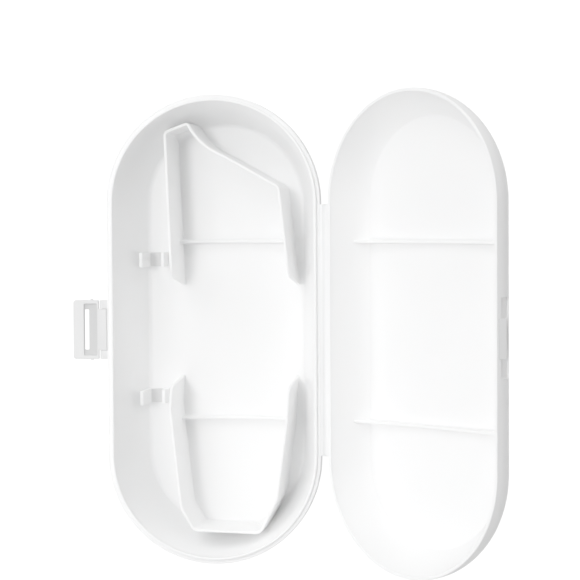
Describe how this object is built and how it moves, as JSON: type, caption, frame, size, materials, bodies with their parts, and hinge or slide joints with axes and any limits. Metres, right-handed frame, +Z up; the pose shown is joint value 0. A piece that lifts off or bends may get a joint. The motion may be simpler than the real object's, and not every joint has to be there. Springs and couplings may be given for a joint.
{
  "type": "water flosser travel case",
  "caption": "Stadium-shaped hinged plastic travel case, lying open: deep base with device cradles and jet tip clips, shallow ribbed lid, flap latch.",
  "frame": {"origin": "middle of the flat face that the base stands on", "axes": "+Z up out of the open base, +Y along the case towards the slanted cradle, +X across the case towards the hinge and the lid"},
  "size_m": [0.2354, 0.25, 0.1153],
  "materials": {
    "case_white": "fine satin white polypropylene",
    "web_white": "smooth thin white polypropylene",
    "latch_white": "satin white plastic"
  },
  "bodies": {
    "base": {"base_shell": "case_white", "base_rim_tongue": "case_white", "base_hinge_leaf": "web_white", "upper_cradle": "case_white", "upper_saddle_rib": "case_white", "lower_cradle": "case_white", "lower_saddle_rib": "case_white", "upper_tip_clip": "case_white", "lower_tip_clip": "case_white", "upper_latch_ear": "case_white", "lower_latch_ear": "case_white", "latch_pin": "latch_white", "hinge_film": "web_white"},
    "lid": {"lid_shell": "case_white", "lid_rim": "case_white", "lid_hinge_leaf": "web_white", "lid_upper_rib": "case_white", "lid_lower_rib": "case_white", "lid_catch": "case_white"},
    "latch": {"latch_flap": "latch_white"}
  },
  "joints": [
    {"name": "lid_hinge", "type": "hinge", "parent": "base", "child": "lid", "pos_m": [0.0598, 0, 0.0444], "axis": [0, -1, 0], "range_deg": [-37.3, 142.7], "deforming": ["hinge_film"]},
    {"name": "latch_pivot", "type": "hinge", "parent": "base", "child": "latch", "pos_m": [-0.0603, 0, 0.0404], "axis": [0, 1, 0], "range_deg": [-70, 90]}
  ]
}
